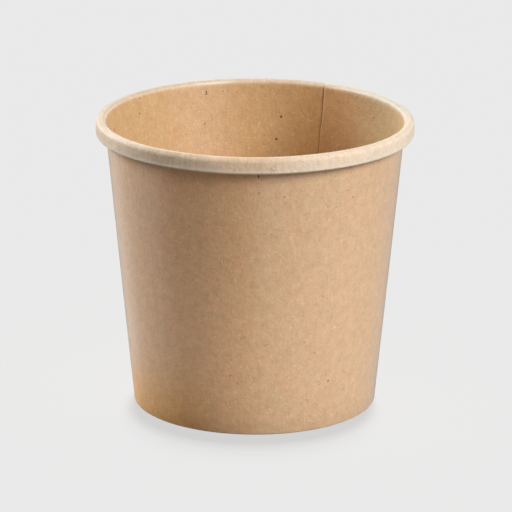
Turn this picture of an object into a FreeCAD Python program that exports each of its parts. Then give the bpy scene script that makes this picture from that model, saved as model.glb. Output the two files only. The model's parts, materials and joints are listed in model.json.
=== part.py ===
import FreeCAD, Part
import math
import os

# A paper pasta bowl: a deep, slightly tapered round tub of kraft board.
# One sheet is rolled into the wall, with a lapped side seam, a curled rim and a
# hem turned in at the foot. The base is a disc with its edge folded down, and
# the hem closes over that edge. Millimetres, +Z up, the foot stands on Z = 0.

# Overall sizes
RIM_DIAMETER = 117.0        # over the curl
FOOT_DIAMETER = 90.0        # where the outside of the wall's cone meets Z = 0
HEIGHT = 108.0              # foot to the top of the curl

# Board
WALL_BOARD = 0.45
BASE_BOARD = 0.40

# Curled rim: a flattened roll, round at the top and the bottom
CURL_WIDTH = 3.75
CURL_HEIGHT = 6.15
CURL_TAIL = 2.0             # straight run of board turned up inside the curl
LAP_GAP = 0.10              # left beside the tail where the board is doubled

# Side seam
SEAM_AZIMUTH = 62.5         # of the inner ply's cut edge, degrees from +X
SEAM_LAP = 7.5              # degrees of doubled board
SEAM_STEP = 3.4             # degrees over which the board steps out under the inner ply

# Foot
HEM_TOP = 8.5               # height of the hem's cut edge
FOLD_RADIUS = 0.10          # inside the two corners of the foot's fold
PANEL_HEIGHT = 10.0         # underside of the base panel
PANEL_CORNER = 0.60         # inside radius where the base turns down
SKIRT_FOOT = 1.5            # height of the folded-down edge of the base

FULL_TURN = 360.0


def point(radius, height):
    """A point of the upright half-plane through the axis at azimuth 0."""
    return FreeCAD.Vector(radius, 0, height)


def wall_slope():
    """Angle of the wall from the axis, in radians.

    The wall's inside face runs straight into the top of the curl, so it is
    tangent to the curl's top round, and its outside face meets the foot.
    """
    curl_radius = CURL_WIDTH / 2
    run = RIM_DIAMETER / 2 - curl_radius - FOOT_DIAMETER / 2
    rise = HEIGHT - curl_radius
    return math.atan2(run, rise) - math.asin((curl_radius - WALL_BOARD) / math.hypot(run, rise))


SLOPE = wall_slope()
UP_WALL = FreeCAD.Vector(math.sin(SLOPE), 0, math.cos(SLOPE))
OUT_OF_WALL = FreeCAD.Vector(math.cos(SLOPE), 0, -math.sin(SLOPE))


def on_wall(depth, height):
    """The point at a height, on the line parallel to the wall a depth inside its outer face."""
    start = point(FOOT_DIAMETER / 2, 0) - OUT_OF_WALL * depth
    return start + UP_WALL * ((height - start.z) / UP_WALL.z)


def curl_bottom_radius():
    """Radius of the curl's bottom round.

    The round reaches from the curl's outer side to a line beside the wall,
    with room there for the second ply of the seam.
    """
    beside_wall = WALL_BOARD + LAP_GAP
    across = (RIM_DIAMETER - FOOT_DIAMETER) / 2 * OUT_OF_WALL.x
    fallen = (HEIGHT - CURL_HEIGHT) * UP_WALL.x
    return (across - fallen - beside_wall) / (1 + OUT_OF_WALL.x + UP_WALL.x)


def arc(centre, radius, start_degrees, end_degrees):
    """A round stretch of the section, by its angles from outward towards up."""
    def at(degrees):
        angle = math.radians(degrees)
        return centre + point(math.cos(angle), math.sin(angle)) * radius

    return Part.Arc(at(start_degrees), at((start_degrees + end_degrees) / 2), at(end_degrees)).toShape()


def start_of(edge):
    return edge.firstVertex(True).Point


def end_of(edge):
    return edge.lastVertex(True).Point


def joined(stretches):
    """The stretches in order, with straight edges across the gaps between them."""
    edges = [stretches[0]]
    for stretch in stretches[1:]:
        edges.append(Part.makeLine(end_of(edges[-1]), start_of(stretch)))
        edges.append(stretch)
    return edges


def sheet_line(depth, lift):
    """Edges along the rolled sheet, from the hem's cut edge to the curl's.

    Depth 0 is the face that lines the bowl, and greater depths lie towards the
    face that is outermost on the wall. The lift raises the foot's fold, so that
    the seam stands on its outer ply, level with the rest of the foot.
    """
    slope = math.degrees(SLOPE)
    fold_height = WALL_BOARD + FOLD_RADIUS + lift
    wall_corner = on_wall(WALL_BOARD + FOLD_RADIUS, fold_height)
    hem_corner = on_wall(WALL_BOARD + BASE_BOARD - FOLD_RADIUS, fold_height)
    top_radius = CURL_WIDTH / 2
    top_centre = point(RIM_DIAMETER / 2 - top_radius, HEIGHT - top_radius)
    bottom_radius = curl_bottom_radius()
    bottom_centre = point(RIM_DIAMETER / 2 - bottom_radius, HEIGHT - CURL_HEIGHT + bottom_radius)

    fold = FOLD_RADIUS + depth
    rounds = joined([
        arc(hem_corner, fold, -180 - slope, -90),
        arc(wall_corner, fold, -90, -slope),
        arc(top_centre, top_radius - depth, 180 - slope, 0),
        arc(bottom_centre, bottom_radius - depth, 0, -180 - slope),
    ])
    hem_cut = on_wall(WALL_BOARD + BASE_BOARD + depth, HEM_TOP)
    tail_foot = end_of(rounds[-1])
    hem = Part.makeLine(hem_cut, start_of(rounds[0]))
    tail = Part.makeLine(tail_foot, tail_foot + UP_WALL * CURL_TAIL)
    return [hem] + rounds + [tail]


def board_section(near_depth, far_depth, lift):
    """Closed outline of the board between two depths."""
    near = sheet_line(near_depth, lift)
    far = sheet_line(far_depth, lift)
    hem_cut = Part.makeLine(start_of(near[0]), start_of(far[0]))
    curl_cut = Part.makeLine(end_of(near[-1]), end_of(far[-1]))
    return Part.Wire(Part.__sortEdges__(near + far + [hem_cut, curl_cut]))


def turned(shape, degrees):
    """The shape turned about the upright axis."""
    return shape.rotated(FreeCAD.Vector(0, 0, 0), FreeCAD.Vector(0, 0, 1), degrees)


def sector(section, start_degrees, sweep_degrees):
    """The section swept about the axis from one azimuth through an angle."""
    face = turned(Part.Face(section), start_degrees)
    return face.revolve(FreeCAD.Vector(0, 0, 0), FreeCAD.Vector(0, 0, 1), sweep_degrees)


def side_wall():
    """The rolled sheet: hem, wall, curl and lapped seam in one piece."""
    single = board_section(0, WALL_BOARD, lift=0)
    stepped_out = board_section(WALL_BOARD, 2 * WALL_BOARD, lift=WALL_BOARD)
    doubled = board_section(0, 2 * WALL_BOARD, lift=WALL_BOARD)

    step_end = SEAM_AZIMUTH + SEAM_STEP
    plain_sweep = FULL_TURN - SEAM_STEP - SEAM_LAP
    plain = sector(single, step_end, plain_sweep)
    lap = sector(doubled, SEAM_AZIMUTH - SEAM_LAP, SEAM_LAP)
    step = Part.makeLoft([turned(stepped_out, SEAM_AZIMUTH), turned(single, step_end)], True, True)
    return plain.fuse([lap, step])


def base_disc():
    """The base: a flat panel with its edge folded down inside the wall."""
    slope = math.degrees(SLOPE)
    corner_radius = PANEL_CORNER + BASE_BOARD
    corner = on_wall(WALL_BOARD + corner_radius, PANEL_HEIGHT - PANEL_CORNER)
    skirt_cut = Part.makeLine(on_wall(WALL_BOARD, SKIRT_FOOT), on_wall(WALL_BOARD + BASE_BOARD, SKIRT_FOOT))
    centre = Part.makeLine(point(0, PANEL_HEIGHT), point(0, PANEL_HEIGHT + BASE_BOARD))
    edges = joined([
        arc(corner, corner_radius, 90, -slope),
        skirt_cut,
        arc(corner, PANEL_CORNER, -slope, 90),
        centre,
    ])
    edges.append(Part.makeLine(end_of(centre), start_of(edges[0])))
    return sector(Part.Wire(edges), 0, FULL_TURN)


def save(name, shape):
    """Write one piece as a single solid."""
    solid = shape.Solids[0]
    if len(shape.Solids) != 1 or not solid.isValid():
        raise ValueError(name + " is not one sound solid")
    solid.exportStep("parts/" + name + ".step")


os.makedirs("parts", exist_ok=True)
save("side_wall", side_wall())
save("base_disc", base_disc())
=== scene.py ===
import json
import math

import bpy
import numpy as np
from mathutils import Matrix, Vector


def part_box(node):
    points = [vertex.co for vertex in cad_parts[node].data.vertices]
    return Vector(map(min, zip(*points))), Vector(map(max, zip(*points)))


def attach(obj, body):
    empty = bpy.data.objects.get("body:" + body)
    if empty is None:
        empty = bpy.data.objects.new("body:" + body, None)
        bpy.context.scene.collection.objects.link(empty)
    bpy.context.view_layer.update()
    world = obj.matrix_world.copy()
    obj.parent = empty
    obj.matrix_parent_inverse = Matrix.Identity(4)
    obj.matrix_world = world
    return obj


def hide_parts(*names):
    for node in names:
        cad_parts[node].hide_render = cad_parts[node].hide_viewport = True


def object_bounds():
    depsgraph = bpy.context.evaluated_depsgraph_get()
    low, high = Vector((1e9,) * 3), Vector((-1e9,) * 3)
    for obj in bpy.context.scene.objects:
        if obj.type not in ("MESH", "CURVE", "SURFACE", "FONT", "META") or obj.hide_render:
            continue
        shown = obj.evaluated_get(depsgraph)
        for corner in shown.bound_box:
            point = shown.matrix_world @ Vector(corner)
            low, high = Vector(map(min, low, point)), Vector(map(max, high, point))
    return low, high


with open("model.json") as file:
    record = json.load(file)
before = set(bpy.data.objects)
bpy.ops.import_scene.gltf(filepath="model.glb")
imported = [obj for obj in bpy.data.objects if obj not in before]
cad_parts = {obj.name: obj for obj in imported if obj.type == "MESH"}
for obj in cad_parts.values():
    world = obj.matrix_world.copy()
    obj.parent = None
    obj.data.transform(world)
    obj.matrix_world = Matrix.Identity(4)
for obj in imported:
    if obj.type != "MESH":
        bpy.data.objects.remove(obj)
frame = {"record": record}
cad_low, cad_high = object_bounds()

# ---------------------------------------------------------------------------
# Side wall
# One blank of brown kraft board, rolled into a cone and sealed where its two
# ends lap. Its top edge is curled outwards and pressed into a tall, flat-sided
# roll, and its bottom edge is turned in and up as a hem that holds the base.
# ---------------------------------------------------------------------------

MM = 0.001
WALL_BOARD = 0.45 * MM
BASE_BOARD = 0.40 * MM

mounts = {mount["name"]: mount for mount in frame["record"]["mounts"]}
REST_INSET = 0.60 * MM          # from the foot of the wall's cone in to the ring it stands on
BOWL_HEIGHT = cad_high.z
RIM_RADIUS = mounts["lid_seat"]["dims"]["r_mm"] * MM
FOOT_RADIUS = mounts["base_rest"]["pos_m"][0] + REST_INSET

FOLD_RADIUS = 0.10 * MM
HEM_HEIGHT = 8.5 * MM
CURL_TOP_RADIUS = 1.875 * MM
CURL_CORNER_RADIUS = 0.8 * MM
CURL_HEIGHT = 5.95 * MM
CURL_TAIL = 2.0 * MM
LAP_GAP = 0.10 * MM
TAIL_GAP = WALL_BOARD + LAP_GAP

FULL_TURN = math.tau
SEAM_AZIMUTH = math.radians(62.5)
SEAM_LAP = math.radians(7.5)
SEAM_STEP = math.radians(3.4)
SEAM_STEP_ON_CURL = math.radians(1.0)
PLY_GAP = 0.01 * MM
SEAM_LEAN = math.radians(0.8)   # how far the seam drifts round the bowl on its way up
LEAN_REACH = 32 * MM            # down from the rim
SEAM_JOG = math.radians(0.35)   # a small sideways slip of the seam
JOG_FOOT = 91.5 * MM
JOG_TOP = 93.5 * MM

CLOSER_ROWS = 18 * MM           # of wall under the curl, where the points lie closer for the jog
CLOSEST_ROWS = 1.5 * MM         # of wall just under the curl

SEAM_PRESSED = 0.10 * MM        # how much lower the curl is over the seam
CURL_WAVER_UP = 0.05 * MM
CURL_WAVER_OUT = 0.07 * MM
CURL_RISE = 0.15 * MM
WALL_BELLY = 0.10 * MM
BELLY_FOOT = 10 * MM
BELLY_TOP = BOWL_HEIGHT - 6 * MM


def along(start, heading, stretches):
    """Points and headings along a line made of straight and round stretches.

    A stretch is (length, turn, steps). Its heading turns evenly, so after a run x
    the line has moved x sin(h) / h in the direction half-way through its turn,
    where h is half the angle turned so far.
    """
    points = [np.array([start])]
    headings = [np.array([heading])]
    for length, turn, steps in stretches:
        share = np.linspace(0, 1, steps + 1)[1:]
        middle = headings[-1][-1] + turn * share / 2
        moved = length * share * np.sinc(turn * share / FULL_TURN)
        points.append(points[-1][-1] + moved[:, None] * np.stack([np.cos(middle), np.sin(middle)], 1))
        headings.append(headings[-1][-1] + turn * share)
    return np.concatenate(points), np.concatenate(headings)


def eased(value, low, high):
    """3 t^2 - 2 t^3, where t is the share of the way from low to high, kept within 0 and 1."""
    t = np.clip((value - low) / (high - low), 0, 1)
    return t * t * (3 - 2 * t)


def bulge(value, middle, reach):
    """1 at the middle, falling smoothly to 0 at a reach on either side."""
    return 1 - eased(abs(value - middle), 0, reach)


def facing(azimuth, middle, reach, full=0):
    """1 where the bowl faces the middle, falling smoothly to 0 at a reach on either side.

    The azimuth is in radians, and the rest in degrees. It stays 1 as far as full.
    """
    away = abs((azimuth - math.radians(middle) + math.pi) % FULL_TURN - math.pi)
    return 1 - eased(np.degrees(away), full, reach)


def waves(azimuth, orders, seed):
    """Sum of cos(n a + p) / n over the orders n, with a seeded phase p for each."""
    phases = np.random.default_rng(seed).uniform(0, FULL_TURN, len(orders))
    return sum(np.cos(n * azimuth + p) / n for n, p in zip(orders, phases))


def wall_slope():
    """Angle of the wall from upright. Its lining runs straight into the curl's top round."""
    run = RIM_RADIUS - CURL_TOP_RADIUS - FOOT_RADIUS
    rise = BOWL_HEIGHT - CURL_TOP_RADIUS
    return math.atan2(run, rise) - math.asin((CURL_TOP_RADIUS - WALL_BOARD) / math.hypot(run, rise))


SLOPE = wall_slope()
UP_WALL = np.array([math.sin(SLOPE), math.cos(SLOPE)])
OUT_OF_WALL = np.array([math.cos(SLOPE), -math.sin(SLOPE)])


def on_wall(depth, height):
    """Point (radius, height) on the line parallel to the wall, a depth inside its outer face."""
    start = np.array([FOOT_RADIUS, 0.0]) - depth * OUT_OF_WALL
    return start + UP_WALL * (height - start[1]) / UP_WALL[1]


def lining_line():
    """Section of the face that lines the bowl, from the hem's cut edge to the curl's."""
    fold_height = WALL_BOARD + FOLD_RADIUS
    hem_corner = on_wall(WALL_BOARD + BASE_BOARD - FOLD_RADIUS, fold_height)
    wall_corner = on_wall(WALL_BOARD + FOLD_RADIUS, fold_height)
    hem_top = on_wall(WALL_BOARD + BASE_BOARD, HEM_HEIGHT)
    hem_foot = hem_corner - FOLD_RADIUS * OUT_OF_WALL
    wall_foot = wall_corner + FOLD_RADIUS * OUT_OF_WALL
    curl_centre = np.array([RIM_RADIUS - CURL_TOP_RADIUS, BOWL_HEIGHT - CURL_TOP_RADIUS])
    wall_top = curl_centre - CURL_TOP_RADIUS * OUT_OF_WALL

    across = (RIM_RADIUS - FOOT_RADIUS) * OUT_OF_WALL[0] - (BOWL_HEIGHT - CURL_HEIGHT) * UP_WALL[0]
    corners_across = CURL_CORNER_RADIUS * (1 + OUT_OF_WALL[0] + UP_WALL[0])
    flat_bottom = (across - TAIL_GAP - corners_across) / OUT_OF_WALL[0]
    flat_side = CURL_HEIGHT - CURL_TOP_RADIUS - CURL_CORNER_RADIUS
    plain_wall = np.linalg.norm(wall_top - wall_foot) - CLOSER_ROWS - CLOSEST_ROWS
    into_foot = math.pi / 2 + SLOPE
    up_from_foot = math.pi / 2 - SLOPE
    over_top = math.pi - SLOPE
    square = math.pi / 2
    up_beside_wall = math.pi / 2 + SLOPE
    return along(hem_top, -into_foot, [
        (np.linalg.norm(hem_foot - hem_top), 0, 4),
        (FOLD_RADIUS * into_foot, into_foot, 4),
        (wall_corner[0] - hem_corner[0], 0, 1),
        (FOLD_RADIUS * up_from_foot, up_from_foot, 4),
        (plain_wall, 0, 13),
        (CLOSER_ROWS, 0, 12),
        (CLOSEST_ROWS, 0, 4),
        (CURL_TOP_RADIUS * over_top, -over_top, 15),
        (flat_side, 0, 3),
        (CURL_CORNER_RADIUS * square, -square, 6),
        (flat_bottom, 0, 2),
        (CURL_CORNER_RADIUS * up_beside_wall, -up_beside_wall, 6),
        (CURL_TAIL, 0, 2),
    ])


def turns_round():
    """Angles along the blank from the inner ply's cut edge to the outer ply's, closer at the seam."""
    near_seam = math.radians(12)
    after_edge = np.linspace(0, near_seam, num=34)
    plain = np.linspace(near_seam, FULL_TURN - near_seam, num=540)
    before_edge = np.linspace(FULL_TURN - near_seam, FULL_TURN + SEAM_LAP, num=58)
    return np.concatenate([after_edge, plain[1:], before_edge[1:]])


def rolled_face(depth):
    """One face of the rolled blank, as points over (along the section, round the bowl).

    radius = line + normal (depth + step), turned to azimuth seam - u, where the
    step is one board outwards from u = 360 degrees on, under the inner ply. The
    foot's fold is raised by the step, so that the seam stands level.
    """
    line, heading = lining_line()
    normal = np.stack([np.sin(heading), -np.cos(heading)], 1)
    line_height = line[:, 1:]
    on_curl = eased(line_height, low=BOWL_HEIGHT - 10 * MM, high=BOWL_HEIGHT - 3 * MM)
    round_bowl = turns_round()[None, :]
    past_seam = np.where(round_bowl > math.pi, round_bowl - FULL_TURN, round_bowl)

    # The seam leans and jogs near its top, and the board round it follows.
    lean = SEAM_LEAN * eased(line_height, low=BOWL_HEIGHT - LEAN_REACH, high=BOWL_HEIGHT)
    lean = lean + SEAM_JOG * eased(line_height, low=JOG_FOOT, high=JOG_TOP)
    near_seam = 1 - eased(abs(past_seam), low=SEAM_LAP, high=6 * SEAM_LAP)
    azimuth = SEAM_AZIMUTH - round_bowl - lean * near_seam

    step_width = SEAM_STEP + (SEAM_STEP_ON_CURL - SEAM_STEP) * on_curl
    outer_ply = eased(round_bowl, low=FULL_TURN - step_width, high=FULL_TURN)
    step = depth + (WALL_BOARD + PLY_GAP) * outer_ply
    radius = line[:, :1] + normal[:, :1] * step
    height = line_height + normal[:, 1:] * step

    # The fold rises where the board is doubled.
    inner_ply = 1 - eased(round_bowl, low=SEAM_LAP, high=SEAM_LAP + SEAM_STEP)
    at_fold = 1 - eased(line_height, low=1 * MM, high=6 * MM)
    height = height + (WALL_BOARD + PLY_GAP) * np.maximum(outer_ply, inner_ply) * at_fold

    # The curl is pressed a little lower over the seam, and wavers a little all round.
    past_step = eased(past_seam, low=-SEAM_STEP_ON_CURL, high=0)
    before_plain = 1 - eased(past_seam, low=math.radians(5), high=math.radians(12))
    height = height - SEAM_PRESSED * past_step * before_plain * on_curl
    height = height + CURL_WAVER_UP * waves(azimuth, orders=[2, 3, 5, 9], seed=1) * on_curl
    height = height + CURL_RISE * facing(azimuth, middle=300, reach=30) * on_curl
    radius = radius + CURL_WAVER_OUT * waves(azimuth, orders=[2, 3, 4, 7, 11], seed=2) * on_curl

    # The wall bellies by less than its own thickness between the base and the curl.
    up_belly = np.clip((line_height - BELLY_FOOT) / (BELLY_TOP - BELLY_FOOT), 0, 1)
    belly = WALL_BELLY * np.sin(math.pi * up_belly)
    radius = radius + belly * waves(azimuth, orders=[2, 3, 4, 6, 9, 14], seed=3)
    return np.stack([radius * np.cos(azimuth), radius * np.sin(azimuth), height], 2)


def both_sides(index, onward, other):
    """Faces (i, j), (i, j + 1), (i + 1, j + 1), (i + 1, j) of the near grid, and the far grid's.

    The index holds the near grid's points and onward the next point round. The far
    grid's points are numbered other higher, and its faces run the other way round.
    """
    a, b, c, d = index[:-1], onward[:-1], onward[1:], index[1:]
    near_faces = np.stack([a, b, c, d], 2).reshape(-1, 4)
    far_faces = np.stack([a, d, c, b], 2).reshape(-1, 4) + other
    return near_faces, far_faces


def cut_edge(edge, onward, other):
    """One row of faces between the near grid's border and the far grid's."""
    return np.stack([edge, onward, onward + other, edge + other], 1)


NEAR_SIDE, FAR_SIDE, CUT = 0, 1, 2


def board_mesh(name, points, faces, sides, counts, sheet_uv):
    """A mesh whose faces lie in runs, each run on one side of the board. Cuts are shaded flat."""
    mesh = bpy.data.meshes.new(name)
    mesh.from_pydata(points, [], faces)
    side = np.repeat(sides, counts)
    mesh.polygons.foreach_set("material_index", side.astype(np.int32))
    mesh.polygons.foreach_set("use_smooth", side != CUT)

    corners = np.empty(len(mesh.loops), np.int32)
    mesh.loops.foreach_get("vertex_index", corners)
    layer = mesh.uv_layers.new(name="sheet")
    layer.data.foreach_set("uv", sheet_uv[corners].astype(np.float32).ravel())
    return mesh


def sheet_mesh(name, near, far, sheet_uv, marks):
    """A closed sheet of board between two grids of points, with its four cut edges."""
    rows, columns = near.shape[:2]
    other = rows * columns
    index = np.arange(other).reshape(rows, columns)
    near_faces, far_faces = both_sides(index[:, :-1], index[:, 1:], other)
    borders = [index[0, ::-1], index[:, 0], index[-1], index[::-1, -1]]
    cut_faces = np.concatenate([cut_edge(border[:-1], border[1:], other) for border in borders])

    points = np.concatenate([near.reshape(-1, 3), far.reshape(-1, 3)])
    faces = np.concatenate([near_faces, far_faces, cut_faces])
    counts = [len(near_faces), len(far_faces), len(cut_faces)]
    point_uv = np.tile(sheet_uv.reshape(-1, 2), (2, 1))
    mesh = board_mesh(name, points, faces, [NEAR_SIDE, FAR_SIDE, CUT], counts, point_uv)
    for mark_name, value in marks.items():
        values = np.tile(np.broadcast_to(value, (rows, columns)).ravel(), 2).astype(np.float32)
        mesh.attributes.new(mark_name, "FLOAT", "POINT").data.foreach_set("value", values)
    mesh.update()
    return mesh


def run_along(points):
    """Length run along a line of points, from its first."""
    return np.concatenate([[0], np.cumsum(np.linalg.norm(np.diff(points, axis=0), axis=1))])


def wall_marks():
    """Where the board is stretched, scuffed or tinted, and where light and shade are painted on it: shares
    over (along the section, round the bowl).

    Lengths beyond the wall run along the section from where the curl starts, in
    millimetres like the heights. The marks are made of smooth steps and bulges
    along the section and round the bowl.
    """
    line, heading = lining_line()
    run = run_along(line)[:, None] / MM
    wall_top = np.flatnonzero(np.isclose(heading, math.pi / 2 - SLOPE))[-1]
    beyond_wall = run - run[wall_top]
    height = line[:, 1:] / MM
    round_bowl = turns_round()[None, :]
    azimuth = (SEAM_AZIMUTH - round_bowl) % FULL_TURN
    degrees_round = np.degrees(azimuth)
    past_inner_edge = np.degrees(round_bowl)
    past_full_turn = np.degrees(round_bowl - FULL_TURN)

    # The stretched face turns pale sooner on one side than on the other, and raggedly.
    # The right side and the left back also carry painted shade on the lining.
    shaded_right = facing(azimuth, middle=22, reach=34)
    shaded_left_back = facing(azimuth, middle=150, reach=40)
    bright_back = np.maximum(facing(azimuth, middle=106, reach=11), facing(azimuth, middle=46, reach=17))
    ragged = waves(azimuth, orders=[5, 9, 16, 23], seed=4)
    fade_from = 0.5 * shaded_left_back - 0.4 * shaded_right - 0.3 * bright_back + 0.15 * ragged
    curl = eased(beyond_wall - fade_from, low=-0.9, high=1.9)

    # A painted highlight: a paler line over the curl's top, strongest at the front, and weaker where the
    # curl is warmer in tone.
    front = 0.5 - 0.5 * np.sin(azimuth)
    warm_curl = np.maximum(facing(azimuth, middle=266, reach=28),
                           0.35 * facing(azimuth, middle=300, reach=30))
    from_top = beyond_wall - 0.4 * facing(azimuth, middle=226, reach=20)
    crest_highlight = eased(from_top, low=1.7, high=2.3) * (1 - eased(from_top, low=2.8, high=3.8))
    crest_highlight = crest_highlight * (0.15 + 0.85 * front) * (1 - 0.6 * warm_curl)

    # Painted highlights: two lines on the curl's top and one along its lower edge.
    back_highlight = bulge(beyond_wall, middle=1.0, reach=0.7) * (0.2 + 0.8 * bright_back)
    front_highlight = bulge(beyond_wall, middle=2.3, reach=0.5) * facing(azimuth, middle=300, reach=24)
    front_left = facing(azimuth, middle=235, reach=55)
    lower_edge_highlight = bulge(beyond_wall, middle=8.9, reach=0.55) * (0.55 + 0.45 * front_left)

    scuffed = np.maximum.reduce([
        facing(azimuth, middle=237, reach=32),
        0.40 * facing(azimuth, middle=268, reach=28),
        0.65 * facing(azimuth, middle=185, reach=32),
        0.30 * facing(azimuth, middle=3, reach=32),
        0.60 * facing(azimuth, middle=120, reach=80, full=50),
    ])

    # Painted light on the outside: warm bounce light painted towards the foot at the left, and painted shade
    # at the front left, deepest under the curl.
    bounce_side = eased(degrees_round, low=130, high=205) * (1 - eased(degrees_round, low=228, high=262))
    warm_bounce_foot = (1 - eased(height, low=-1, high=30)) * bounce_side
    shaded_front = 0.55 + 0.45 * eased(height, low=40, high=85)
    shaded_front = shaded_front * facing(azimuth, middle=251, reach=26, full=12)

    # A painted shadow on the lining beside the seam's step, fading out where the curl begins.
    seam_step_shadow = bulge(past_full_turn, middle=-0.4, reach=0.45)
    return {
        "curl": curl,
        "warm_curl": warm_curl,
        "crest_highlight": crest_highlight,
        "ridge_highlight": np.maximum(back_highlight, front_highlight),
        "lower_edge_highlight": lower_edge_highlight,
        "scuffed": scuffed,
        "warm_bounce_foot": warm_bounce_foot,
        "shaded_front": shaded_front,
        # A painted sheen on the lining at the back, and painted shade at the back right.
        "sheen_back": facing(azimuth, middle=112, reach=22),
        "shaded_back_right": facing(azimuth, middle=64, reach=22),
        "seam_edge": 1 - eased(past_inner_edge, low=0.2, high=0.45),
        "seam_step_shadow": seam_step_shadow * (1 - eased(beyond_wall, low=-1.0, high=0.3)),
        "shaded_right": shaded_right,
        "shaded_left_back": shaded_left_back,
    }


def wall_mesh():
    """The rolled blank as a closed sheet, with its developed size in millimetres as its UV map."""
    middle_radius = 52
    line = lining_line()[0]
    round_bowl = turns_round()
    across = np.broadcast_to(round_bowl * middle_radius, (len(line), len(round_bowl)))
    upward = np.broadcast_to(run_along(line)[:, None] / MM, across.shape)
    sheet_uv = np.stack([across, upward], 2)
    return sheet_mesh("rolled_wall", rolled_face(0), rolled_face(WALL_BOARD), sheet_uv, wall_marks())


def add_object(name, data):
    """A new object in the scene."""
    made = bpy.data.objects.new(name, data)
    bpy.context.scene.collection.objects.link(made)
    return made


# Brown kraft board: long softwood fibres left unbleached, so the face is a warm
# tan, clouded and mottled, with paler fibre ends and a few dark specks of bark.
# Where the lined face is stretched round the curl it turns pale and scuffed.

# Several of these colours paint light and shade: the lining's painted sheen and shades, the curl's painted
# highlights, the outside's painted bounce light and front shade, and the painted shadow beside the seam's
# step.
PAINTED_SHEEN_LINING = (0.67, 0.437, 0.25, 1)
PAINTED_WARM_SHADE = (0.97, 0.91, 0.81, 1)
PAINTED_SHADE_RIGHT = (0.84, 0.97, 1.0, 1)
PAINTED_SHADE_LEFT_BACK = (0.94, 0.95, 0.98, 1)
PALE_CURL = (0.85, 0.685, 0.515, 1)
WARM_CURL = (0.885, 0.625, 0.42, 1)
SCUFFED_CURL = (0.57, 0.41, 0.265, 1)
PAINTED_CREST_HIGHLIGHT = (0.88, 0.77, 0.62, 1)
PAINTED_CURL_HIGHLIGHT = (0.92, 0.85, 0.74, 1)
PAINTED_WARM_BOUNCE = (0.745, 0.405, 0.155, 1)
PAINTED_SHADE_FRONT = (0.95, 0.86, 0.77, 1)
PALE_FIBRE = (0.90, 0.72, 0.52, 1)
DARK_FIBRE = (0.30, 0.16, 0.08, 1)
BARK = (0.13, 0.065, 0.03, 1)
PAINTED_SEAM_SHADOW = (0.25, 0.11, 0.035, 1)
BOARD_CORE = (0.50, 0.33, 0.20, 1)

LINED_BOARD = {
    "tan": (0.655, 0.405, 0.200, 1),
    "olive": (0.635, 0.417, 0.204, 1),
    "mottling": 0.22,
    "relief": 0.28 * MM,
    "finish": {"Roughness": 0.55, "Specular IOR Level": 0.4, "Sheen Weight": 0.2, "Sheen Roughness": 0.3},
}
RAW_BOARD = {
    "tan": (0.735, 0.455, 0.268, 1),
    "olive": (0.715, 0.466, 0.268, 1),
    "mottling": 0.36,
    "relief": 0.19 * MM,
    "finish": {"Roughness": 0.6, "Specular IOR Level": 0.3, "Sheen Weight": 1.0, "Sheen Roughness": 0.36},
}


def empty_tree(owner):
    """The node tree of a material or a world, with nothing in it."""
    owner.use_nodes = True
    owner.node_tree.nodes.clear()
    return owner.node_tree


def add_node(tree, kind, inputs, **settings):
    """A shader node with its settings, and each input set to a value or joined to an output."""
    made = tree.nodes.new(kind)
    for name, value in settings.items():
        setattr(made, name, value)
    for name, value in inputs.items():
        if isinstance(value, bpy.types.NodeSocket):
            tree.links.new(value, made.inputs[name])
        else:
            made.inputs[name].default_value = value
    return made


def reckon(tree, operation, first, second=0.0, third=0.0):
    """A sum on one or more numbers."""
    return add_node(tree, "ShaderNodeMath", {0: first, 1: second, 2: third}, operation=operation).outputs[0]


def times(tree, first, second):
    """One number times another."""
    return reckon(tree, "MULTIPLY", first, second)


def larger(tree, first, second):
    """The larger of two numbers."""
    return reckon(tree, "MAXIMUM", first, second)


def swing(tree, pattern, amount):
    """A factor about 1 from a pattern of 0 to 1: p a + 1 - a / 2."""
    return reckon(tree, "MULTIPLY_ADD", pattern, amount, 1 - amount / 2)


def vector_sum(tree, operation, inputs, output=0):
    """A sum on one or more vectors."""
    return add_node(tree, "ShaderNodeVectorMath", inputs, operation=operation).outputs[output]


def blend_colour(tree, share, first, second, kind="MIX"):
    """The first colour, with a share of the second."""
    mix = add_node(tree, "ShaderNodeMix", {0: share, 6: first, 7: second}, data_type="RGBA", blend_type=kind)
    return mix.outputs[2]


def shade_colour(tree, share, colour, shade):
    """The colour, with a share of it multiplied by a shade."""
    return blend_colour(tree, share, colour, shade, kind="MULTIPLY")


def ramp(tree, value, low, high):
    """0 to 1 as a value goes from low to high, eased at both ends. Low may be above high."""
    settings = {"Value": value, "From Min": low, "From Max": high}
    return add_node(tree, "ShaderNodeMapRange", settings, interpolation_type="SMOOTHSTEP").outputs[0]


def millimetres(tree):
    """The bowl's own coordinates in millimetres."""
    metres = add_node(tree, "ShaderNodeTexCoord", {}).outputs["Object"]
    return vector_sum(tree, "SCALE", {0: metres, 3: 1 / MM})


def mark(tree, name, strength=1.0):
    """One of the mesh's marks, times a strength."""
    found = add_node(tree, "ShaderNodeAttribute", {}, attribute_name=name).outputs["Fac"]
    return times(tree, found, strength)


def grain(tree, place, size, detail=2.0, roughness=0.5):
    """Soft random pattern with features of about a size, in millimetres."""
    settings = {"Vector": place, "Scale": 1 / size, "Detail": detail, "Roughness": roughness}
    return add_node(tree, "ShaderNodeTexNoise", settings).outputs["Fac"]


def stretched(tree, place, scale):
    """A place with its axes stretched, so that a pattern runs along one of them."""
    return add_node(tree, "ShaderNodeMapping", {"Vector": place, "Scale": scale}).outputs[0]


def specks(tree, place, spacing, reach, share):
    """Round specks, at most one in each cell of a spacing, in a share of the cells."""
    full_reach = 0.4 * reach
    cells = add_node(tree, "ShaderNodeTexVoronoi", {"Vector": place, "Scale": 1 / spacing})
    number = add_node(tree, "ShaderNodeSeparateColor", {0: cells.outputs["Color"]}).outputs[0]
    chosen = reckon(tree, "LESS_THAN", number, share)
    near = ramp(tree, cells.outputs["Distance"], low=reach / spacing, high=full_reach / spacing)
    return times(tree, near, chosen)


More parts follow.
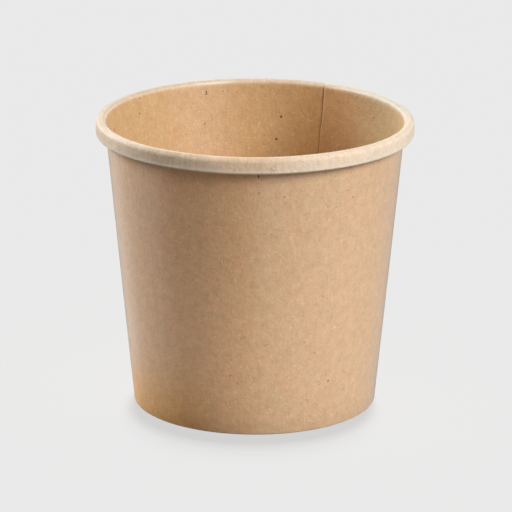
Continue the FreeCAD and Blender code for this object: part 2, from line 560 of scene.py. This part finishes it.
def loose_fibres(tree, place, size, width, share):
    """Thin curled fibres: the lines where a random pattern crosses its middle, in some places only."""
    full_width = 0.2 * width
    patch_size = 0.7 * size
    patch_from = 0.5 + share
    patch_edge = 0.03
    crossing = reckon(tree, "SUBTRACT", grain(tree, place, size, detail=1.0), 0.5)
    line = ramp(tree, reckon(tree, "ABSOLUTE", crossing), low=width, high=full_width)
    moved = {"Vector": place, "Location": (31.0, 17.0, 43.0)}
    elsewhere = add_node(tree, "ShaderNodeMapping", moved).outputs[0]
    patches = grain(tree, elsewhere, patch_size, detail=1.0)
    here = ramp(tree, patches, low=patch_from, high=patch_from + patch_edge)
    return times(tree, line, here)


def bark_fleck(tree, place, azimuth, radius, height, wide, tall):
    """One dark fleck: 1 within its ellipse about a point, fading out at its edge."""
    angle = math.radians(azimuth)
    centre = (radius * math.cos(angle), radius * math.sin(angle), height)
    offset = vector_sum(tree, "SUBTRACT", {0: place, 1: centre})
    scaled = vector_sum(tree, "MULTIPLY", {0: offset, 1: (1 / wide, 1 / wide, 1 / tall)})
    distance = vector_sum(tree, "LENGTH", {0: scaled}, output="Value")
    return ramp(tree, distance, low=1.0, high=0.35)


def lining_painted_light(tree, colour, finish):
    """Painted light on the lining: a paler, creamier painted sheen at the back, and a darker, warmer painted
    shade at the back right, by the seam.
    """
    colour = blend_colour(tree, mark(tree, "sheen_back"), colour, PAINTED_SHEEN_LINING)
    return shade_colour(tree, mark(tree, "shaded_back_right"), colour, PAINTED_WARM_SHADE), finish


def outside_painted_light(tree, colour, finish):
    """Painted light on the outside: warm bounce light painted at the left of the foot, where the sheen is
    also cut, and painted shade at the front left.
    """
    warm_bounce = mark(tree, "warm_bounce_foot")
    # Painted warm bounce light towards the foot at the left.
    colour = blend_colour(tree, warm_bounce, colour, PAINTED_WARM_BOUNCE)
    # Painted shade at the front left, deepest under the curl.
    colour = shade_colour(tree, mark(tree, "shaded_front"), colour, PAINTED_SHADE_FRONT)
    sheen = finish["Sheen Weight"]
    sheen_lost = 0.95 * sheen
    less_sheen = reckon(tree, "MULTIPLY_ADD", warm_bounce, -sheen_lost, sheen)
    return colour, finish | {"Sheen Weight": less_sheen}


def lining_wear_and_light(tree, colour, sheet, shade):
    """The curl is pale and scuffed, with painted highlights over its top and along its lower edge; the
    lining has painted shade on the right and at the left back; the seam has a pale line along its cut edge
    and a painted shadow beside its step.
    """
    long_way = stretched(tree, sheet, scale=(0.7, 0.10, 1.0))
    scuffs = grain(tree, long_way, size=1.0, detail=3.0)
    scuffs = reckon(tree, "MULTIPLY_ADD", ramp(tree, scuffs, low=0.35, high=0.70), 0.4, 0.6)
    scuffs = times(tree, scuffs, mark(tree, "scuffed"))
    curled = blend_colour(tree, mark(tree, "warm_curl"), PALE_CURL, WARM_CURL)
    curled = blend_colour(tree, scuffs, curled, SCUFFED_CURL)
    # Painted highlight over the curl's top.
    curled = blend_colour(tree, mark(tree, "crest_highlight", strength=0.7), curled, PAINTED_CREST_HIGHLIGHT)
    curled = shade_colour(tree, 1.0, curled, shade)
    colour = blend_colour(tree, mark(tree, "curl"), colour, curled)
    # Painted highlights on the curl's top and along its lower edge.
    highlighted = larger(tree, mark(tree, "ridge_highlight"), mark(tree, "lower_edge_highlight", strength=0.7))
    colour = blend_colour(tree, highlighted, colour, PAINTED_CURL_HIGHLIGHT)
    # Painted shade on the lining: duller on the right, darker at the left back.
    colour = shade_colour(tree, mark(tree, "shaded_right"), colour, PAINTED_SHADE_RIGHT)
    colour = shade_colour(tree, mark(tree, "shaded_left_back"), colour, PAINTED_SHADE_LEFT_BACK)
    colour = blend_colour(tree, mark(tree, "seam_edge", strength=0.55), colour, PALE_FIBRE)
    # A painted shadow beside the seam's step.
    return blend_colour(tree, mark(tree, "seam_step_shadow", strength=0.55), colour, PAINTED_SEAM_SHADOW)


def board_shade(tree, place, sheet, mottling):
    """A factor about 1 for the colour: fine mottling, soft patches, and streaks along the sheet."""
    mottle = grain(tree, place, size=0.9, detail=4.0, roughness=0.65)
    patches = grain(tree, place, size=3.0)
    long_way = stretched(tree, sheet, scale=(1.2, 0.12, 1.0))
    streaks = grain(tree, long_way, size=1.0, detail=3.0, roughness=0.6)
    shade = times(tree, swing(tree, mottle, mottling), swing(tree, patches, amount=0.32))
    return times(tree, shade, swing(tree, streaks, amount=0.16))


def add_fibres(tree, place, colour, flecks):
    """The colour with pale and dark fibre ends, loose fibres, and specks and flecks of bark."""
    pale_strength, dark_strength = 0.40, 0.38
    speck_strength, fleck_strength = 0.6, 0.95
    pale = larger(tree, specks(tree, place, spacing=1.3, reach=0.26, share=0.30),
                  loose_fibres(tree, place, size=2.2, width=0.020, share=0.06))
    colour = blend_colour(tree, times(tree, pale, pale_strength), colour, PALE_FIBRE)
    dark = larger(tree, specks(tree, place, spacing=1.9, reach=0.26, share=0.22),
                  loose_fibres(tree, place, size=2.9, width=0.016, share=0.07))
    colour = blend_colour(tree, times(tree, dark, dark_strength), colour, DARK_FIBRE)
    bark = times(tree, specks(tree, place, spacing=7.5, reach=0.30, share=0.30), speck_strength)
    for fleck in flecks:
        bark = larger(tree, bark, times(tree, bark_fleck(tree, place, *fleck), fleck_strength))
    return blend_colour(tree, bark, colour, BARK)


def board_material(name, board, flecks=(), add_painted_light=None, add_wear_and_light=None):
    """A kraft face, clouded from tan to olive, with its painted light and shade, its wear, fibres and a fine
    bump.
    """
    material = bpy.data.materials.new(name)
    tree = empty_tree(material)
    place = millimetres(tree)
    sheet = add_node(tree, "ShaderNodeUVMap", {}, uv_map="sheet").outputs[0]

    clouds = ramp(tree, grain(tree, place, size=6.0), low=0.3, high=0.7)
    colour = blend_colour(tree, clouds, board["tan"], board["olive"])
    finish = board["finish"]
    if add_painted_light:
        colour, finish = add_painted_light(tree, colour, finish)
    shade = board_shade(tree, place, sheet, board["mottling"])
    colour = shade_colour(tree, 1.0, colour, shade)
    if add_wear_and_light:
        colour = add_wear_and_light(tree, colour, sheet, shade)
    colour = add_fibres(tree, place, colour, flecks)

    relief = grain(tree, place, size=1.7, detail=4.0, roughness=0.70)
    bump = add_node(tree, "ShaderNodeBump", {"Height": relief, "Strength": 1.0, "Distance": board["relief"]})
    inputs = {"Base Color": colour, "Normal": bump.outputs[0]} | finish
    shader = add_node(tree, "ShaderNodeBsdfPrincipled", inputs)
    add_node(tree, "ShaderNodeOutputMaterial", {"Surface": shader.outputs[0]})
    return material


def cut_board(name):
    """A cut edge: the paler, softer inside of the board, in fine layers."""
    material = bpy.data.materials.new(name)
    tree = empty_tree(material)
    layers = grain(tree, millimetres(tree), size=0.25, detail=3.0, roughness=0.6)
    colour = blend_colour(tree, ramp(tree, layers, low=0.3, high=0.7), BOARD_CORE, PALE_FIBRE)
    shader = add_node(tree, "ShaderNodeBsdfPrincipled", {"Base Color": colour, "Roughness": 0.9})
    add_node(tree, "ShaderNodeOutputMaterial", {"Surface": shader.outputs[0]})
    return material


# Flecks of bark that show on their own: (azimuth, radius, height, width, height of the fleck)
lining_flecks = [
    (79.4, 53.6, 94.1, 0.78, 0.75),
    (81.2, 52.8, 85.4, 0.72, 0.62),
    (110, 54.5, 104, 0.45, 0.90),
    (110, 54.4, 103.2, 0.75, 0.32),
    (103, 54.5, 104, 0.30, 0.35),
    (143.3, 54.1, 100.4, 0.42, 0.80),
    (142.4, 54.9, 106.1, 0.45, 0.50),
    (165, 54.0, 99.1, 0.50, 0.75),
    (111, 53.4, 92, 0.40, 0.50),
    (34.4, 54.1, 99.5, 0.45, 0.45),
]
outside_flecks = [
    (-88.7, 54.6, 100.4, 0.38, 1.10),
    (-88.5, 54.0, 94, 0.36, 0.36),
    (-78.7, 53.9, 92.5, 0.40, 0.38),
    (-49, 53.6, 89, 0.42, 0.38),
    (-52.2, 53.9, 92, 0.32, 0.26),
    (-57, 53.3, 86.5, 0.30, 0.30),
    (-163, 50.8, 61, 0.30, 0.40),
    (-55, 46.8, 18.7, 0.50, 0.50),
    (-63, 48.0, 31, 0.25, 0.30),
]

wall = add_object("rolled_wall", wall_mesh())
lined_kraft = board_material("lined_kraft", LINED_BOARD, lining_flecks, lining_painted_light, lining_wear_and_light)
raw_kraft = board_material("raw_kraft", RAW_BOARD, outside_flecks, outside_painted_light)
cut_kraft = cut_board("cut_kraft")
for kraft in (lined_kraft, raw_kraft, cut_kraft):
    wall.data.materials.append(kraft)
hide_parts("side_wall")
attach(wall, "root")

# ---------------------------------------------------------------------------
# Base
# A disc of the same board, pressed so that its edge turns down as a skirt. The
# skirt gathers into fine pleats, and is sealed between the wall and the hem.
# ---------------------------------------------------------------------------

base_low, base_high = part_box("base_disc")
PANEL_TOP = base_high.z
SKIRT_FOOT = base_low.z
BASE_CORNER = 1.0 * MM
FIRST_RING = 1 * MM             # radius of the fan at the middle
PANEL_DOME = 0.25 * MM
DOME_INSET = 4 * MM             # from the skirt in to where the dome begins
PLEATS = 112
PLEAT_DEPTH = 0.05 * MM
POINTS_A_PLEAT = 6


def base_line():
    """Section of the base's upper face, from near its middle out, over the corner and down."""
    corner = on_wall(WALL_BOARD + BASE_CORNER, PANEL_TOP - BASE_CORNER)
    skirt_top = corner + BASE_CORNER * OUT_OF_WALL
    skirt_foot = on_wall(WALL_BOARD, SKIRT_FOOT)
    over = math.pi / 2 + SLOPE
    return along(np.array([FIRST_RING, PANEL_TOP]), 0, [
        (corner[0] - FIRST_RING, 0, 16),
        (BASE_CORNER * over, -over, 10),
        (np.linalg.norm(skirt_foot - skirt_top), 0, 5),
    ])


def base_face(depth):
    """One face of the base. The panel's middle stands proud by a dome, d (1 - (r / R)^2)^2.

    On the corner and the skirt, pleats of depth p push the face in by p (1 + cos(n a)) / 2.
    """
    line, heading = base_line()
    normal = np.stack([np.sin(heading), -np.cos(heading)], 1)
    line_radius = line[:, :1]
    widest = line_radius.max()
    azimuth = -np.linspace(0, FULL_TURN, PLEATS * POINTS_A_PLEAT + 1)[None, :-1]
    on_corner = eased(line_radius, low=widest - 3 * MM, high=widest - 0.5 * MM)
    pleat = PLEAT_DEPTH * (1 + np.cos(PLEATS * azimuth)) / 2 * on_corner
    radius = line_radius + normal[:, :1] * (depth + pleat)
    height = line[:, 1:] + normal[:, 1:] * (depth + pleat)
    height = height + PANEL_DOME * np.clip(1 - (line_radius / (widest - DOME_INSET)) ** 2, 0, 1) ** 2
    return np.stack([radius * np.cos(azimuth), radius * np.sin(azimuth), height], 2)


def base_mesh():
    """Two closed-round grids, joined at the skirt's cut edge, each with a fan at the middle."""
    near, far = base_face(0), base_face(BASE_BOARD)
    rows, columns = near.shape[:2]
    other = rows * columns
    index = np.arange(other).reshape(rows, columns)
    onward = np.roll(index, -1, axis=1)
    near_faces, far_faces = both_sides(index, onward, other)
    cut_faces = cut_edge(index[-1], onward[-1], other)
    near_middle, far_middle = 2 * other, 2 * other + 1
    near_fan = np.stack([onward[0], index[0], np.full(columns, near_middle)], 1)
    far_fan = np.stack([index[0] + other, onward[0] + other, np.full(columns, far_middle)], 1)

    middle_height = near[0, 0, 2]
    middles = np.array([[0, 0, middle_height], [0, 0, middle_height - BASE_BOARD]])
    points = np.concatenate([near.reshape(-1, 3), far.reshape(-1, 3), middles])
    quads = np.concatenate([near_faces, far_faces, cut_faces])
    faces = quads.tolist() + near_fan.tolist() + far_fan.tolist()
    sides = [NEAR_SIDE, FAR_SIDE, CUT, NEAR_SIDE, FAR_SIDE]
    counts = [len(near_faces), len(far_faces), len(cut_faces), columns, columns]
    mesh = board_mesh("pressed_base", points, faces, sides, counts, points[:, :2] / MM)
    mesh.update()
    return mesh


base = add_object("pressed_base", base_mesh())
lined_base = board_material("lined_base", LINED_BOARD)
raw_base = board_material("raw_base", RAW_BOARD)
for kraft in (lined_base, raw_base, cut_kraft):
    base.data.materials.append(kraft)
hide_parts("base_disc")
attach(base, "root")

# ---------------------------------------------------------------------------
# Studio
# A wide, matt, pale floor. Five far lamps and two low cards light the bowl alone,
# and one lamp its base alone. Two more light the floor alone, and only the base
# shades them, which leaves a short soft shadow in front of the foot.
# ---------------------------------------------------------------------------

FLOOR_SIZE = 12.0
FLOOR_TONE = (0.10, 0.10, 0.10, 1)
FLOOR_GLOW = 0.618
BACKDROP_SEEN = 0.82
BACKDROP_LIGHT = 0.13
WHITE = (1, 1, 1, 1)


def seen_directly(tree):
    """1 for a ray from the camera, or one mirrored or let through on its way, else 0."""
    path = add_node(tree, "ShaderNodeLightPath", {})
    seen = larger(tree, path.outputs["Is Camera Ray"], path.outputs["Is Glossy Ray"])
    return larger(tree, seen, path.outputs["Is Transmission Ray"])


def pale_floor():
    """A matt floor that looks pale and even, and throws little light back up on the bowl."""
    material = bpy.data.materials.new("pale_floor")
    tree = empty_tree(material)
    matt = add_node(tree, "ShaderNodeBsdfDiffuse", {"Color": FLOOR_TONE})
    glow = add_node(tree, "ShaderNodeEmission", {"Strength": times(tree, seen_directly(tree), FLOOR_GLOW)})
    both = add_node(tree, "ShaderNodeAddShader", {0: matt.outputs[0], 1: glow.outputs[0]})
    add_node(tree, "ShaderNodeOutputMaterial", {"Surface": both.outputs[0]})
    return material


def studio_world():
    """Weak even light from all round, and a pale backdrop where it is seen or mirrored."""
    world = bpy.data.worlds.new("studio")
    bpy.context.scene.world = world
    tree = empty_tree(world)
    more_seen = BACKDROP_SEEN - BACKDROP_LIGHT
    strength = reckon(tree, "MULTIPLY_ADD", seen_directly(tree), more_seen, BACKDROP_LIGHT)
    background = add_node(tree, "ShaderNodeBackground", {"Color": WHITE, "Strength": strength})
    add_node(tree, "ShaderNodeOutputWorld", {"Surface": background.outputs[0]})


def direction(azimuth, elevation=0.0):
    """Unit vector towards an azimuth and an elevation, in degrees.

    Azimuth 0 is the camera's side and 90 the right-hand side.
    """
    turned, raised = math.radians(azimuth), math.radians(elevation)
    level = math.cos(raised)
    return Vector((math.sin(turned) * level, -math.cos(turned) * level, math.sin(raised)))


def lamp(name, azimuth, elevation, strength, spread, lights_only, shaded_by=None):
    """A far lamp, which lights a white face turned towards it to this strength."""
    light = bpy.data.lights.new(name, "SUN")
    light.energy = strength * math.pi
    light.angle = math.radians(spread)
    made = add_object(name, light)
    made.location = direction(azimuth, elevation)
    made.rotation_euler = made.location.to_track_quat("Z", "Y").to_euler()
    made.light_linking.receiver_collection = lights_only
    made.light_linking.blocker_collection = shaded_by


def reflector(name, azimuth, distance, height, size, watts, colour, lights_only):
    """A small round card, which throws light on the bowl from near the floor."""
    light = bpy.data.lights.new(name, "AREA")
    light.shape = "DISK"
    light.size = size
    light.energy = watts
    light.color = colour
    card = add_object(name, light)
    card.location = direction(azimuth) * distance + Vector((0, 0, height))
    aim = Vector((0, 0, BOWL_HEIGHT / 2)) - card.location
    card.rotation_euler = aim.to_track_quat("-Z", "Y").to_euler()
    card.visible_camera = False
    card.light_linking.receiver_collection = lights_only


def group(name, members):
    """A group of objects that a lamp can light, or be shaded by."""
    made = bpy.data.collections.new(name)
    for member in members:
        made.objects.link(member)
    return made


half = FLOOR_SIZE / 2
floor_mesh = bpy.data.meshes.new("floor")
floor_corners = [(-half, -half, 0), (half, -half, 0), (half, half, 0), (-half, half, 0)]
floor_mesh.from_pydata(floor_corners, [], [(0, 1, 2, 3)])
floor = add_object("floor", floor_mesh)
floor.data.materials.append(pale_floor())
studio_world()

ground = group("ground", [floor])
bowl = group("bowl", [wall, base])
foot = group("foot", [base])
lamp("key_lamp", azimuth=56, elevation=33, strength=0.93, spread=30, lights_only=bowl)
lamp("back_lamp", azimuth=-112, elevation=27, strength=0.715, spread=30, lights_only=bowl)
lamp("rear_lamp", azimuth=-146, elevation=12, strength=0.33, spread=20, lights_only=bowl)
lamp("rear_right_lamp", azimuth=150, elevation=12, strength=0.10, spread=20, lights_only=bowl)
lamp("front_lamp", azimuth=-32, elevation=38, strength=0.09, spread=40, lights_only=bowl)
reflector("low_card", azimuth=-10, distance=0.10, height=0.004, size=0.05, watts=0.0065,
          colour=(1, 0.80, 0.60), lights_only=bowl)
reflector("right_card", azimuth=50, distance=0.17, height=0.015, size=0.10, watts=0.030,
          colour=(0.72, 0.90, 1), lights_only=bowl)
lamp("base_lamp", azimuth=0, elevation=78, strength=0.30, spread=40, lights_only=foot)
lamp("floor_lamp", azimuth=175, elevation=40, strength=1.8, spread=22, lights_only=ground, shaded_by=foot)
lamp("low_floor_lamp", azimuth=176, elevation=24, strength=1.75, spread=20, lights_only=ground,
     shaded_by=foot)

# ---------------------------------------------------------------------------
# Camera
# A long lens, a little above the bowl and well back from it.
# ---------------------------------------------------------------------------

CAMERA_DISTANCE = 1.402
CAMERA_ELEVATION = 16.92
CAMERA_ROLL = 0.17
LENS = 265.4
SENSOR_WIDTH = 36
FARTHEST_SEEN = 50
AIM_ASIDE = 0.45 * MM
AIM_ABOVE_MIDDLE = 0.45 * MM

camera = add_object("camera", bpy.data.cameras.new("camera"))
camera.data.sensor_width = SENSOR_WIDTH
camera.data.lens = LENS
camera.data.clip_end = FARTHEST_SEEN
aim = Vector((AIM_ASIDE, 0, BOWL_HEIGHT / 2 + AIM_ABOVE_MIDDLE))
eye = aim + direction(azimuth=0, elevation=CAMERA_ELEVATION) * CAMERA_DISTANCE
camera.matrix_world = (Matrix.Translation(eye)
                       @ Matrix.Rotation(math.radians(90 - CAMERA_ELEVATION), 4, "X")
                       @ Matrix.Rotation(math.radians(CAMERA_ROLL), 4, "Z"))
bpy.context.scene.camera = camera
bpy.context.scene.view_settings.view_transform = "Standard"
